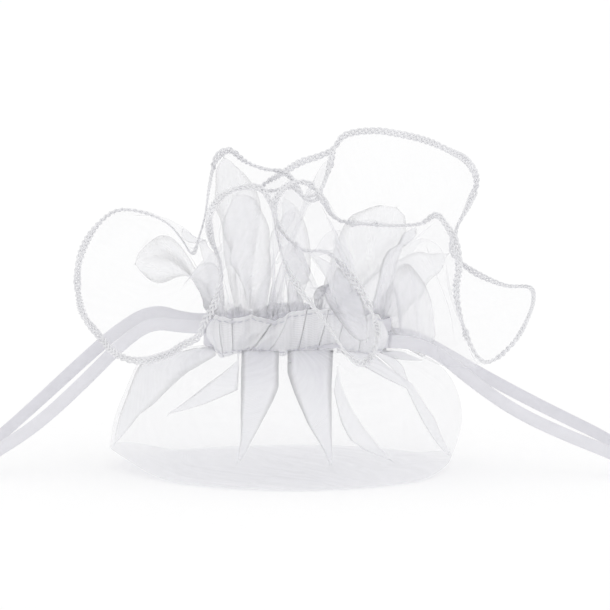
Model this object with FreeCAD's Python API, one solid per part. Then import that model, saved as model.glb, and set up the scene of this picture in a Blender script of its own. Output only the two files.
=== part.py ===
"""A drawstring gift pouch of sheer organza: one round cloth with a merrowed edge, gathered at
its neck by two ribbons that run in a stitched casing and leave it at opposite sides.

Millimetres. +Z is up, X runs along the flattened neck from the left outlet to the right one,
and -Y is the front. The pouch stands on z = 0, with the origin under the middle of its box.
"""
import FreeCAD, Part
import math
import os

from FreeCAD import Vector

# Driving dimensions
FABRIC = 0.5              # thickness that each layer of cloth is given
RIBBON_WIDTH = 3.0
RIBBON_THICKNESS = 0.5
CLEARANCE = 0.3           # between a ribbon and whatever it slides past

RAYS = 96                 # directions around the neck in which the cloth is shaped
NECK_X = -1.75            # the neck's middle, a little left of the ruffle's
NECK_HALF_WIDTH = 20.9
NECK_HALF_DEPTH = 6.75
NECK_BOTTOM = 27.6
CASING_BOTTOM = 28.2
STRIP = 0.4               # thickness of the casing's cloth strip

HEM_WIDTH = 1.8
HEM_THICKNESS = 1.4
STITCH_LENGTH = 1.6
STITCH_THREAD = 0.3

COIL_RADIUS = 16.5        # middle of the put-away ribbon's turns
COIL_BAND = 4.2           # the turns together, from the innermost to the outermost
COIL_X = 97.0
COIL_LEAD = 12.0          # straight ribbon side by side before the first turn
KNOT_SIZE = (5.6, 4.4, 3.6)
KNOT_SUNK = 0.6           # how much of the knot's height is flattened where it lies

# Worked out from them
CHANNEL_HEIGHT = 2 * RIBBON_WIDTH + 3 * CLEARANCE
CHANNEL_DEPTH = RIBBON_THICKNESS + 2 * CLEARANCE
CASING_TOP = CASING_BOTTOM + 2 * STRIP + CHANNEL_HEIGHT
NECK_TOP = CASING_TOP + CLEARANCE
RIGHT_LEVEL = CASING_BOTTOM + STRIP + CLEARANCE + RIBBON_WIDTH / 2
LEFT_LEVEL = RIGHT_LEVEL + RIBBON_WIDTH + CLEARANCE
RIBBON_Y = NECK_HALF_DEPTH + CHANNEL_DEPTH / 2
BEND_START = 6.0          # where the ribbon's bend begins, from the neck's middle

# The flat base, as (direction in degrees, radius from the neck's middle)
BASE = [(0, 37.2), (25, 38.5), (60, 38), (90, 38.5), (125, 40), (150, 43.5), (166, 44.5),
        (185, 41.5), (210, 38.5), (240, 38), (270, 38.5), (300, 37), (335, 36.5)]

# How the wall closes from the base to the neck, as (height, share of the way in)
WALL = [(FABRIC, 0.0), (6.0, -0.02), (12.0, 0.02), (17.0, 0.1), (21.0, 0.24), (24.0, 0.44),
        (26.2, 0.72), (NECK_BOTTOM, 1.0)]

# The ruffle's free edge, as (direction in degrees, radius, height), lobe by lobe
RIM = [(0, 53, 40), (14, 47, 46), (27, 45, 65), (48, 43, 73), (70, 38, 75), (86, 25, 70),
       (98, 13, 55), (112, 21, 66), (128, 32, 72), (146, 31, 70), (160, 27, 60), (171, 25, 50),
       (181, 42, 59), (192, 51, 44), (203, 50, 33), (212, 38, 29), (220, 26, 37), (229, 28, 60),
       (243, 26, 67), (258, 20, 60), (275, 18, 45), (291, 21, 35), (306, 24, 30), (317, 20, 44),
       (327, 24, 56), (334, 33, 56), (343, 46, 31), (351, 51, 33)]
RUFFLE_STEPS = 7
RUFFLE_DROOP = 0.55       # how far a lobe that hangs down arches up first

# The ribbons' free tails, from the casing's end to the lead of the coil
LEFT_OUTLET = NECK_X - NECK_HALF_WIDTH
RIGHT_OUTLET = NECK_X + NECK_HALF_WIDTH
FLOOR_LEVEL = RIBBON_WIDTH / 2 + 0.1
COIL_START = COIL_X - COIL_LEAD
FRONT_LANE = -(COIL_RADIUS + 0.7)
BACK_LANE = -(COIL_RADIUS - 0.7)
TAILS = {
    "left_ribbon_tail_back": [
        (LEFT_OUTLET, RIBBON_Y, LEFT_LEVEL), (-27.5, RIBBON_Y, LEFT_LEVEL), (-35.0, 7.6, 36.2),
        (-43.0, 7.2, 31.6), (-52.0, 5.4, 23.8), (-61.5, 0.6, 15.4), (-69.5, -7.2, 8.9),
        (-77.5, -14.3, 2.9), (-COIL_START, BACK_LANE, FLOOR_LEVEL)],
    "left_ribbon_tail_front": [
        (LEFT_OUTLET, -RIBBON_Y, LEFT_LEVEL), (-27.5, -RIBBON_Y, LEFT_LEVEL), (-35.0, -7.9, 35.0),
        (-42.0, -8.3, 30.1), (-50.5, -9.0, 21.4), (-60.5, -10.6, 12.2), (-70.0, -13.4, 6.0),
        (-78.0, -16.2, 2.3), (-COIL_START, FRONT_LANE, FLOOR_LEVEL)],
    "right_ribbon_tail_back": [
        (RIGHT_OUTLET, RIBBON_Y, RIGHT_LEVEL), (24.0, RIBBON_Y, RIGHT_LEVEL), (31.0, 7.6, 26.8),
        (41.0, 7.1, 20.9), (52.0, 5.2, 15.2), (61.5, 0.6, 11.0), (69.5, -7.2, 7.9),
        (77.5, -14.3, 3.2), (COIL_START, BACK_LANE, FLOOR_LEVEL)],
    "right_ribbon_tail_front": [
        (RIGHT_OUTLET, -RIBBON_Y, RIGHT_LEVEL), (24.0, -RIBBON_Y, RIGHT_LEVEL), (30.5, -7.8, 27.9),
        (38.0, -8.5, 21.6), (48.0, -9.7, 14.6), (59.0, -11.4, 9.6), (69.5, -13.9, 5.7),
        (78.0, -16.4, 2.3), (COIL_START, FRONT_LANE, FLOOR_LEVEL)],
}


def save(shape, node):
    """Write one sub-part, after making sure that it is one valid closed solid."""
    if not shape.isValid() or len(shape.Solids) != 1 or shape.Volume <= 0:
        raise ValueError(node + " isn't one valid solid")
    shape.exportStep(os.path.join("parts", node + ".step"))
    print(node, round(shape.Volume, 1), "mm3")


def smooth_loop(knots, angle):
    """The values at a direction on the smooth closed curve through the knots."""
    count = len(knots)
    for i in range(count):
        start = knots[i][0]
        end = knots[(i + 1) % count][0] + (360 if i == count - 1 else 0)
        if start <= angle < end:
            break
    t = (angle - start) / (end - start)
    before, here = knots[i - 1], knots[i]
    after, beyond = knots[(i + 1) % count], knots[(i + 2) % count]
    values = []
    for a, b, c, d in zip(before[1:], here[1:], after[1:], beyond[1:]):
        values.append(b + 0.5 * t * (c - a + t * (2 * a - 5 * b + 4 * c - d
                                                  + t * (3 * (b - c) + d - a))))
    return values


def neck_radius(angle):
    """The distance from the middle to the neck's oval of two flats and two round ends."""
    across = abs(math.cos(angle))
    along = abs(math.sin(angle))
    flat = NECK_HALF_WIDTH - NECK_HALF_DEPTH
    if along * flat >= across * NECK_HALF_DEPTH:
        return NECK_HALF_DEPTH / along
    return flat * across + math.sqrt(NECK_HALF_DEPTH ** 2 - (flat * along) ** 2)


def ring(radius_and_height):
    """One closed row of points, a point for each direction around the neck."""
    points = []
    for i in range(RAYS):
        degrees = 360.0 * i / RAYS
        angle = math.radians(degrees)
        radius, height = radius_and_height(degrees, angle)
        points.append(Vector(NECK_X + radius * math.cos(angle), radius * math.sin(angle), height))
    return points


def cloth_rings():
    """The rows of the wall and of the ruffle, bottom to top."""
    wall = []
    for height, inward in WALL:
        def at(degrees, angle):
            base = smooth_loop(BASE, degrees)[0]
            return base + (neck_radius(angle) - base) * inward, height
        wall.append(ring(at))
    ruffle = []
    for step in range(RUFFLE_STEPS + 1):
        t = step / RUFFLE_STEPS
        def at(degrees, angle):
            start = neck_radius(angle)
            end, top = smooth_loop(RIM, degrees)
            arch = RUFFLE_DROOP * max(0.0, 56.0 - top) * math.sin(math.pi * t)
            return start + (end - start) * t ** 1.15, NECK_TOP + (top - NECK_TOP) * t + arch
        ruffle.append(ring(at))
    return wall, ruffle


def inner_side(rows, level_ends):
    """The rows moved inwards by the cloth's thickness, square to the cloth."""
    moved = []
    last = len(rows) - 1
    for r, row in enumerate(rows):
        below, above = rows[max(r - 1, 0)], rows[min(r + 1, last)]
        new_row = []
        for i, point in enumerate(row):
            around = row[(i + 1) % RAYS] - row[i - 1]
            inward = (above[i] - below[i]).cross(around)
            if r in level_ends:
                inward.z = 0
            new_row.append(point + inward.normalize() * FABRIC)
        moved.append(new_row)
    return moved


def closed_solid(loops, wrap):
    """A solid whose skin joins each loop of points to the next, and the last to the first."""
    faces = []
    pairs = list(zip(loops, loops[1:]))
    if wrap:
        pairs.append((loops[-1], loops[0]))
    for low, high in pairs:
        count = len(low)
        for i in range(count):
            j = (i + 1) % count
            for corners in ((low[i], low[j], high[j]), (low[i], high[j], high[i])):
                faces.append(Part.Face(Part.makePolygon([*corners, corners[0]])))
    solid = Part.makeSolid(Part.makeShell(faces))
    if solid.Volume < 0:
        solid.reverse()
    return solid


def cloth_solid(rows, level_ends):
    """A layer of cloth with thickness: its outer rows, then its inner rows back down."""
    return closed_solid(rows + inner_side(rows, level_ends)[::-1], wrap=True)


def floor():
    """The flat base, cut to the outline that the wall stands on."""
    outline = ring(lambda degrees, angle: (smooth_loop(BASE, degrees)[0], 0.0))
    return Part.Face(Part.makePolygon(outline + outline[:1])).extrude(Vector(0, 0, FABRIC))


def neck():
    """The gathered tube of cloth inside the casing."""
    def oval(half_width, half_depth):
        flat = half_width - half_depth
        corners = [Vector(NECK_X + flat, -half_depth, 0), Vector(NECK_X + flat, half_depth, 0),
                   Vector(NECK_X - flat, half_depth, 0), Vector(NECK_X - flat, -half_depth, 0)]
        right = Part.Arc(corners[0], Vector(NECK_X + half_width, 0, 0), corners[1])
        left = Part.Arc(corners[2], Vector(NECK_X - half_width, 0, 0), corners[3])
        wire = Part.Wire([right.toShape(), Part.makeLine(corners[1], corners[2]),
                          left.toShape(), Part.makeLine(corners[3], corners[0])])
        prism = Part.Face(wire).extrude(Vector(0, 0, NECK_TOP - NECK_BOTTOM))
        return prism.translated(Vector(0, 0, NECK_BOTTOM))
    outside = oval(NECK_HALF_WIDTH, NECK_HALF_DEPTH)
    return outside.cut(oval(NECK_HALF_WIDTH - FABRIC, NECK_HALF_DEPTH - FABRIC))


def hem(rim_outer, rim_inner, row_below):
    """The thick overlocked edge: a flat tube that sits on the ruffle's last row."""
    gap = 0.05
    loops = [[], [], [], []]
    for i in range(RAYS):
        middle = (rim_outer[i] + rim_inner[i]) / 2
        up = (rim_outer[i] - row_below[i]).normalize()
        side = (rim_outer[i] - rim_inner[i]).normalize() * (HEM_THICKNESS / 2)
        low = middle + up * gap
        high = low + up * HEM_WIDTH
        for loop, corner in zip(loops, (low + side, high + side, high - side, low - side)):
            loop.append(corner)
    return closed_solid(loops, wrap=True)


def box(low, high):
    """A box between two corners."""
    size = [high[i] - low[i] for i in range(3)]
    return Part.makeBox(*size, Vector(*low))


def casing(side):
    """One half of the casing: a strip stitched down along both long edges. side is -1 in front."""
    inside = side * NECK_HALF_DEPTH
    outside = side * (NECK_HALF_DEPTH + CHANNEL_DEPTH)
    skin = outside + side * STRIP
    def span(a, b, low, high):
        return box((LEFT_OUTLET, min(a, b), low), (RIGHT_OUTLET, max(a, b), high))
    strip = span(outside, skin, CASING_BOTTOM, CASING_TOP)
    lower = span(inside, outside, CASING_BOTTOM, CASING_BOTTOM + STRIP)
    upper = span(inside, outside, CASING_TOP - STRIP, CASING_TOP)
    return strip.fuse([lower, upper]).removeSplitter()


def stitches(side, height):
    """One row of stitches: a thread with a raised length for each stitch."""
    face = side * (NECK_HALF_DEPTH + CHANNEL_DEPTH + STRIP)
    def thread(start, end, proud):
        near, far = sorted((face, face + side * proud))
        half = STITCH_THREAD / 2
        return box((start, near, height - half), (end, far, height + half))
    row = thread(LEFT_OUTLET + 0.5, RIGHT_OUTLET - 0.5, STITCH_THREAD / 2)
    raised = []
    x = LEFT_OUTLET + 0.5 + STITCH_LENGTH / 4
    while x + STITCH_LENGTH / 2 < RIGHT_OUTLET - 0.5:
        raised.append(thread(x, x + STITCH_LENGTH / 2, STITCH_THREAD))
        x += STITCH_LENGTH
    return row.fuse(raised).removeSplitter()


def ribbon_inside(side, hand, level):
    """The length of ribbon in the casing. hand is -1 for the ribbon that leaves on the left."""
    outlet = LEFT_OUTLET if hand < 0 else RIGHT_OUTLET
    far_end = NECK_X - hand * (BEND_START - CLEARANCE)
    y = side * RIBBON_Y
    low_x, high_x = sorted((outlet, far_end))
    half_thickness = RIBBON_THICKNESS / 2
    half_width = RIBBON_WIDTH / 2
    return box((low_x, y - half_thickness, level - half_width),
               (high_x, y + half_thickness, level + half_width))


def ribbon_bend(hand, level):
    """The ribbon's return around the neck's far end, from one half of the casing to the other."""
    end_x = NECK_X - hand * (NECK_HALF_WIDTH - NECK_HALF_DEPTH)
    start_x = NECK_X - hand * BEND_START
    def outline(radius):
        front = Part.makeLine(Vector(start_x, -radius, 0), Vector(end_x, -radius, 0))
        turn = Part.Arc(Vector(end_x, -radius, 0), Vector(end_x - hand * radius, 0, 0),
                        Vector(end_x, radius, 0)).toShape()
        back = Part.makeLine(Vector(end_x, radius, 0), Vector(start_x, radius, 0))
        closing = Part.makeLine(Vector(start_x, radius, 0), Vector(start_x, -radius, 0))
        return Part.Face(Part.Wire([front, turn, back, closing]))
    band = outline(RIBBON_Y + RIBBON_THICKNESS / 2).cut(outline(RIBBON_Y - RIBBON_THICKNESS / 2))
    solid = band.Faces[0].extrude(Vector(0, 0, RIBBON_WIDTH))
    return solid.translated(Vector(0, 0, level - RIBBON_WIDTH / 2))


def rounded_path(points):
    """Straight runs through the points, joined by the largest tangent arcs that they allow."""
    corners = [Vector(*p) for p in points]
    edges = []
    here = corners[0]
    for before, corner, after in zip(corners, corners[1:], corners[2:]):
        back = before - corner
        ahead = after - corner
        turn = math.pi - back.getAngle(ahead)
        reach = 0.45 * min(back.Length, ahead.Length)
        radius = reach / math.tan(turn / 2)
        start = corner + back.normalize() * reach
        end = corner + ahead.normalize() * reach
        towards = (back + ahead).normalize()
        sagitta = radius / math.cos(turn / 2) - radius
        edges.append(Part.LineSegment(here, start).toShape())
        edges.append(Part.Arc(start, corner + towards * sagitta, end).toShape())
        here = end
        smallest_radii.append(radius)
    edges.append(Part.LineSegment(here, corners[-1]).toShape())
    return Part.Wire(edges)


def ribbon_tail(points):
    """A free tail: the flat ribbon, its width upright, along its route."""
    path = rounded_path(points)
    start, following = Vector(*points[0]), Vector(*points[1])
    ahead = (following - start).normalize()
    across = Vector(0, 0, 1).cross(ahead).normalize() * (RIBBON_THICKNESS / 2)
    upright = ahead.cross(across).normalize() * (RIBBON_WIDTH / 2)
    corners = [start + across + upright, start - across + upright,
               start - across - upright, start + across - upright]
    sweep = Part.BRepOffsetAPI.MakePipeShell(path)
    sweep.setFrenetMode(False)
    sweep.add(Part.makePolygon(corners + corners[:1]))
    sweep.build()
    sweep.makeSolid()
    solid = sweep.shape()
    share = solid.Volume / (RIBBON_WIDTH * RIBBON_THICKNESS * path.Length)
    print("tail", round(path.Length, 1), "mm long,", "volume share", round(share, 3))
    return solid


def ribbon_coil(hand):
    """The put-away length of both tails of a side: a round hank and its straight lead."""
    height = RIBBON_WIDTH + 0.2
    middle = Vector(hand * COIL_X, 0, 0)
    outer = Part.makeCylinder(COIL_RADIUS + COIL_BAND / 2, height, middle)
    hole = Part.makeCylinder(COIL_RADIUS - COIL_BAND / 2, height, middle)
    near, far = sorted((hand * COIL_START, hand * COIL_X))
    lead = box((near, -(COIL_RADIUS + COIL_BAND / 2), 0), (far, -COIL_RADIUS + COIL_BAND / 2, height))
    return outer.fuse(lead).cut(hole).removeSplitter()


def ribbon_knot(hand):
    """The knot that joins the two tails of a side. It lies on the coil's far side."""
    ball = Part.makeSphere(0.5)
    stretch = FreeCAD.Matrix()
    stretch.scale(*KNOT_SIZE)
    lump = ball.transformGeometry(stretch)
    bottom = RIBBON_WIDTH + 0.2
    lift = KNOT_SIZE[2] / 2 - KNOT_SUNK
    lump = lump.translated(Vector(hand * COIL_X, COIL_RADIUS, bottom + lift))
    below = box((hand * COIL_X - 10, COIL_RADIUS - 10, bottom - 10),
                (hand * COIL_X + 10, COIL_RADIUS + 10, bottom))
    return lump.cut(below)


smallest_radii = []
os.makedirs("parts", exist_ok=True)

# The round cloth, from its middle to its free edge
wall_rows, ruffle_rows = cloth_rings()
save(floor(), "organza_floor")
save(cloth_solid(wall_rows, (0, len(wall_rows) - 1)), "organza_wall")
save(neck(), "organza_neck")
save(cloth_solid(ruffle_rows, (0,)), "organza_ruffle")
rim_inside = inner_side(ruffle_rows, (0,))[-1]
save(hem(ruffle_rows[-1], rim_inside, ruffle_rows[-2]), "merrow_edge")

# The casing and its stitching
for side, where in ((-1, "front"), (1, "back")):
    save(casing(side), "casing_" + where)
    save(stitches(side, CASING_TOP - STITCH_THREAD), "stitches_%s_upper" % where)
    save(stitches(side, CASING_BOTTOM + STITCH_THREAD), "stitches_%s_lower" % where)

# The two ribbons
for hand, name, level in ((-1, "left", LEFT_LEVEL), (1, "right", RIGHT_LEVEL)):
    save(ribbon_bend(hand, level), name + "_ribbon_bend")
    save(ribbon_inside(-1, hand, level), name + "_ribbon_inside_front")
    save(ribbon_inside(1, hand, level), name + "_ribbon_inside_back")
    save(ribbon_coil(hand), name + "_ribbon_coil")
    save(ribbon_knot(hand), name + "_ribbon_knot")
for node, points in TAILS.items():
    save(ribbon_tail(points), node)
print("smallest bend radius", round(min(smallest_radii), 1), "mm")
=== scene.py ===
"""A drawstring gift pouch of sheer white organza, standing empty on a white table.

The cloth's base, wall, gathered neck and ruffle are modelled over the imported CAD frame, with its
merrowed edge, the stitched casing and the two ribbons that leave the casing at opposite sides.
Distances below are in millimetres and become metres where the meshes are made.
"""
import math

import bpy
import numpy as np
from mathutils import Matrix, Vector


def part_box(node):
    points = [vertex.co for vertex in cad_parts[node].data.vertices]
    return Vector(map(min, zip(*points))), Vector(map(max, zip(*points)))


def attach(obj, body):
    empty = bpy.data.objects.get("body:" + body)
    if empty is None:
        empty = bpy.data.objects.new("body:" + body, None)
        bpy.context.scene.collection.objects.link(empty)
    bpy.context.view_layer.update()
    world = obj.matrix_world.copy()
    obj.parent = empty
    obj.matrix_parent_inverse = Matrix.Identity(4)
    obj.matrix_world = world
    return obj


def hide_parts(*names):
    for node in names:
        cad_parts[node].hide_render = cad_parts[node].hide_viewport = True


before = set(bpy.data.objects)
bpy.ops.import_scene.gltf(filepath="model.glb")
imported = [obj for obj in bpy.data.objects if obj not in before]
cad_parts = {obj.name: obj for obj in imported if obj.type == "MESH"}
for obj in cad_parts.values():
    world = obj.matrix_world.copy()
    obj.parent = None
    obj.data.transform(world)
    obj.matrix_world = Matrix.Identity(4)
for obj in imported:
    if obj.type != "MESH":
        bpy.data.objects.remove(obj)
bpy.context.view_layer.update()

MM = 0.001

# The neck and the casing, from the frame
neck_low, neck_high = (np.array(c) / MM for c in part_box("organza_neck"))
casing_low, casing_high = (np.array(c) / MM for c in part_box("casing_front"))
NECK_X = (neck_low[0] + neck_high[0]) / 2
NECK_HALF_WIDTH = (neck_high[0] - neck_low[0]) / 2
NECK_HALF_DEPTH = (neck_high[1] - neck_low[1]) / 2
NECK_BOTTOM, NECK_TOP = neck_low[2], neck_high[2]

# The round cloth's cut, measured from its middle
FLOOR_CUT = 38.0
CASING_CUT = 76.0
RUFFLE_CUT = 84.0
EDGE_CUT = 125.0

GATHERS = 46               # small pleats of the cloth inside the casing
GATHER_DEPTH = 1.7
NECK_ROWS = 8
SETTLE_PASSES = 110
FOLD_COLUMNS = 6           # columns across one layer of a pressed pleat
PLEAT_LAYER = 0.08         # from one layer of a pressed pleat to the next
PLEAT_SPACE = 0.0015       # least share of the way round between two pleats
CLOSED_HALF = 0.004        # half of a pleat's share beyond its tip
FOLDING_SHARE = 0.006      # a pleat wider than this share lies fully folded
VIEW_SLOPE = 0.114         # the camera's downward slope


# ---------------- curves and meshes

def through(knots, count, closed=True):
    """Points evenly spaced along a smooth curve through the knots."""
    knots = np.asarray(knots, float)
    if closed:
        line = np.vstack([knots[-1], knots, knots[:2]])
    else:
        line = np.vstack([2 * knots[0] - knots[1], knots, 2 * knots[-1] - knots[-2]])
    dense = []
    for a, b, c, d in zip(line, line[1:], line[2:], line[3:]):
        gaps = [max(np.linalg.norm(q - p), 1e-6) ** 0.5 for p, q in ((a, b), (b, c), (c, d))]
        out = (c - b) / gaps[1]
        m1 = gaps[1] * ((b - a) / gaps[0] - (c - a) / (gaps[0] + gaps[1]) + out)
        m2 = gaps[1] * (out - (d - b) / (gaps[1] + gaps[2]) + (d - c) / gaps[2])
        for t in np.arange(16) / 16:
            dense.append(b * (2 * t**3 - 3 * t**2 + 1) + m1 * (t**3 - 2 * t**2 + t)
                         + c * (3 * t**2 - 2 * t**3) + m2 * (t**3 - t**2))
    dense.append(knots[0] if closed else knots[-1])
    dense = np.array(dense)
    run = np.concatenate([[0], np.cumsum(np.linalg.norm(np.diff(dense, axis=0), axis=1))])
    if closed:
        at = np.arange(count) / count * run[-1]
    else:
        at = np.linspace(0, run[-1], count)
    return np.stack([np.interp(at, run, dense[:, k]) for k in range(dense.shape[1])], axis=1)


def blur(values, passes):
    """Values of a closed row, smoothed along it."""
    for _ in range(passes):
        values = (np.roll(values, 1, 0) + 2 * values + np.roll(values, -1, 0)) / 4
    return values


def unit(v):
    """Vectors of length one."""
    return v / np.maximum(np.linalg.norm(v, axis=-1, keepdims=True), 1e-9)


def smooth(t):
    """A step from 0 to 1 with soft ends."""
    t = np.clip(t, 0, 1)
    return t * t * (3 - 2 * t)


def wobble(s, waves, seed):
    """A closed, uneven wave of about one unit, for s from 0 to 1."""
    pick = np.random.default_rng(seed)
    total = np.zeros_like(s)
    for n in waves:
        total = total + pick.uniform(0.5, 1.0) * np.sin(2 * math.pi * (n * s + pick.uniform()))
    return total / len(waves)


def mesh_piece(name, points, faces, material, uv=None, smooth_faces=True, gathered=None):
    """A mesh object from points in millimetres, with its cloth coordinates and closeness."""
    mesh = bpy.data.meshes.new(name)
    corners = [tuple(int(i) for i in face) for face in faces]
    mesh.from_pydata((np.reshape(points, (-1, 3)) * MM).tolist(), [], corners)
    mesh.update()
    if smooth_faces:
        mesh.shade_smooth()
    if uv is not None:
        layer = mesh.uv_layers.new(name="cloth")
        at = np.empty(len(mesh.loops), int)
        mesh.loops.foreach_get("vertex_index", at)
        layer.data.foreach_set("uv", np.reshape(uv, (-1, 2))[at].ravel())
    if gathered is not None:
        closeness = mesh.attributes.new("gathered", "FLOAT", "POINT")
        closeness.data.foreach_set("value", np.ravel(gathered))
    mesh.materials.append(material)
    piece = bpy.data.objects.new(name, mesh)
    bpy.context.scene.collection.objects.link(piece)
    return piece


def grid_faces(rows, columns, closed):
    """Quads between rows of points."""
    across = columns if closed else columns - 1
    r, c = np.meshgrid(np.arange(rows - 1), np.arange(across), indexing="ij")
    d = (c + 1) % columns
    return np.stack([r * columns + c, r * columns + d, (r + 1) * columns + d, (r + 1) * columns + c],
                    axis=-1).reshape(-1, 4)


def tube_faces(rings, around, first=0):
    """Faces of a row of rings whose points begin at first, closed at both ends."""
    faces = (first + grid_faces(rings, around, True)).tolist()
    faces.append(tuple(first + i for i in range(around))[::-1])
    faces.append(tuple(first + (rings - 1) * around + i for i in range(around)))
    return faces


def cut_uv(cuts, shares):
    """Where each point lies on the flat round cloth, in millimetres.

    cuts is each row's distance from the cloth's middle, and shares is how far round its points are.
    """
    r, turn = np.broadcast_arrays(np.reshape(cuts, (-1, 1)), 2 * math.pi * shares)
    return np.stack([r * np.cos(turn), r * np.sin(turn)], axis=-1)


# ---------------- materials

def new_material(name):
    """An empty material and its nodes."""
    material = bpy.data.materials.new(name)
    material.use_nodes = True
    material.node_tree.nodes.clear()
    return material, material.node_tree.nodes


def add(nodes, kind, inputs, **settings):
    """A node with its settings. Each input takes a value, or the output that is linked to it."""
    node = nodes.new(kind)
    for key, value in settings.items():
        setattr(node, key, value)
    for key, value in inputs.items():
        if isinstance(value, bpy.types.NodeSocket):
            node.id_data.links.new(value, node.inputs[key])
        else:
            node.inputs[key].default_value = value
    return node


def finish(nodes, shader):
    """The shader on the material's surface."""
    add(nodes, "ShaderNodeOutputMaterial", {"Surface": shader.outputs[0]})


def silky(nodes, height, where, colour, darker, light_at, strength, distance, roughness, sheen):
    """A silky surface with bumps; its colour varies between a darker tone and itself."""
    tone = add(nodes, "ShaderNodeValToRGB", {"Fac": where})
    dark, light = tone.color_ramp.elements
    dark.position, light.position = 0.3, light_at
    dark.color = (*[c * darker for c in colour], 1)
    light.color = (*colour, 1)
    bump = add(nodes, "ShaderNodeBump", {
        "Height": height, "Strength": strength, "Distance": distance})
    finish(nodes, add(nodes, "ShaderNodeBsdfPrincipled", {
        "Base Color": tone.outputs["Color"], "Normal": bump.outputs["Normal"],
        "Roughness": roughness, "Sheen Weight": sheen}))


GATHERED_COVER = 0.75      # how much more the threads cover where the cloth is gathered tight
SLUB_SCALE = (0.35, 0.042, 1)       # uneven threads: long streaks one way of the cloth
WEAVE_SCALE = 0.9


def woven_pattern(nodes):
    """From open to dense: the fine weave and its uneven threads."""
    cloth = add(nodes, "ShaderNodeUVMap", {}, uv_map="cloth").outputs["UV"]
    streaks = add(nodes, "ShaderNodeMapping", {"Vector": cloth, "Scale": SLUB_SCALE})
    slub = add(nodes, "ShaderNodeTexNoise", {
        "Vector": streaks.outputs["Vector"], "Scale": 1.0, "Detail": 4.0, "Roughness": 0.6})
    wave = {"Vector": cloth, "Scale": WEAVE_SCALE, "Distortion": 0.6, "Detail": 1.0}
    across, along = (add(nodes, "ShaderNodeTexWave", wave, bands_direction=way).outputs["Fac"]
                     for way in "XY")
    weave = add(nodes, "ShaderNodeMath", {0: across, 1: along}, operation="MAXIMUM")
    both = add(nodes, "ShaderNodeMath", {0: weave.outputs[0], 1: 0.5, 2: slub.outputs["Fac"]},
               operation="MULTIPLY_ADD")
    return both.outputs[0]


def organza(name, body, colour, glowing=0.45):
    """Sheer woven cloth: mostly open, with silky threads that the light comes through.

    body is the share of the surface that the threads cover, and glowing the share of their light
    that comes through from behind.
    """
    material, nodes = new_material(name)
    pattern = woven_pattern(nodes)
    cover = add(nodes, "ShaderNodeMapRange", {
        "Value": pattern, "From Min": 0.2, "From Max": 1.2, "To Min": body * 0.7,
        "To Max": body * 1.3})
    bump = add(nodes, "ShaderNodeBump", {"Height": pattern, "Strength": 0.25, "Distance": 0.0001})
    threads = add(nodes, "ShaderNodeBsdfPrincipled", {
        "Base Color": (*colour, 1), "Roughness": 0.42, "Sheen Weight": 0.25,
        "Specular IOR Level": 0.6, "Normal": bump.outputs["Normal"]})
    glow = add(nodes, "ShaderNodeBsdfTranslucent", {"Color": (*colour, 1)})
    silk = add(nodes, "ShaderNodeMixShader", {
        "Fac": glowing, 1: threads.outputs[0], 2: glow.outputs[0]})
    gathered = add(nodes, "ShaderNodeAttribute", {}, attribute_name="gathered")
    denser = add(nodes, "ShaderNodeMath", {0: gathered.outputs["Fac"], 1: GATHERED_COVER, 2: 1.0},
                 operation="MULTIPLY_ADD")
    covered = add(nodes, "ShaderNodeMath", {0: cover.outputs[0], 1: denser.outputs[0]},
                  operation="MULTIPLY", use_clamp=True)
    gaps = add(nodes, "ShaderNodeBsdfTransparent", {})
    finish(nodes, add(nodes, "ShaderNodeMixShader", {
        "Fac": covered.outputs[0], 1: gaps.outputs[0], 2: silk.outputs[0]}))
    return material


def thread(name, colour):
    """Silky thread, with its plies as bump and a slight change of tone along it."""
    material, nodes = new_material(name)
    where = add(nodes, "ShaderNodeTexCoord", {}).outputs["Object"]
    fibres = add(nodes, "ShaderNodeTexNoise", {
        "Vector": where, "Scale": 2200.0, "Detail": 3.0, "Roughness": 0.65})
    patch = add(nodes, "ShaderNodeTexNoise", {"Vector": where, "Scale": 120.0, "Detail": 2.0})
    silky(nodes, fibres.outputs["Fac"], patch.outputs["Fac"], colour, 0.9, 0.7,
          strength=0.5, distance=0.0002, roughness=0.5, sheen=0.2)
    return material


def satin(name, colour):
    """Woven ribbon: fine ribs along it and a soft sheen; its firm selvedge is in the ribbon's
    section.
    """
    material, nodes = new_material(name)
    uv = add(nodes, "ShaderNodeUVMap", {}, uv_map="cloth").outputs["UV"]
    wave = {"Vector": uv, "Scale": 1.6, "Distortion": 0.4, "Detail": 2.0}
    ribs = add(nodes, "ShaderNodeTexWave", wave, bands_direction="X").outputs["Fac"]
    patch = add(nodes, "ShaderNodeTexNoise", {"Vector": uv, "Scale": 0.25, "Detail": 3.0})
    mixed = add(nodes, "ShaderNodeMath", {0: ribs, 1: 0.4, 2: patch.outputs["Fac"]},
                operation="MULTIPLY_ADD")
    silky(nodes, ribs, mixed.outputs[0], colour, 0.93, 0.9,
          strength=0.3, distance=0.0001, roughness=0.38, sheen=0.15)
    return material


CLOTH_WHITE = (0.935, 0.935, 0.953)
sheer_cloth = organza("sheer_cloth", 0.185, CLOTH_WHITE)
sheer_casing = organza("sheer_casing", 0.85, (0.985, 0.985, 0.998), glowing=0.18)
edge_thread = thread("edge_thread", (0.88, 0.88, 0.9))
stitch_thread = thread("stitch_thread", (0.74, 0.74, 0.79))
ribbon_satin = satin("ribbon_satin", (0.83, 0.825, 0.865))


# ---------------- the neck

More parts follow.
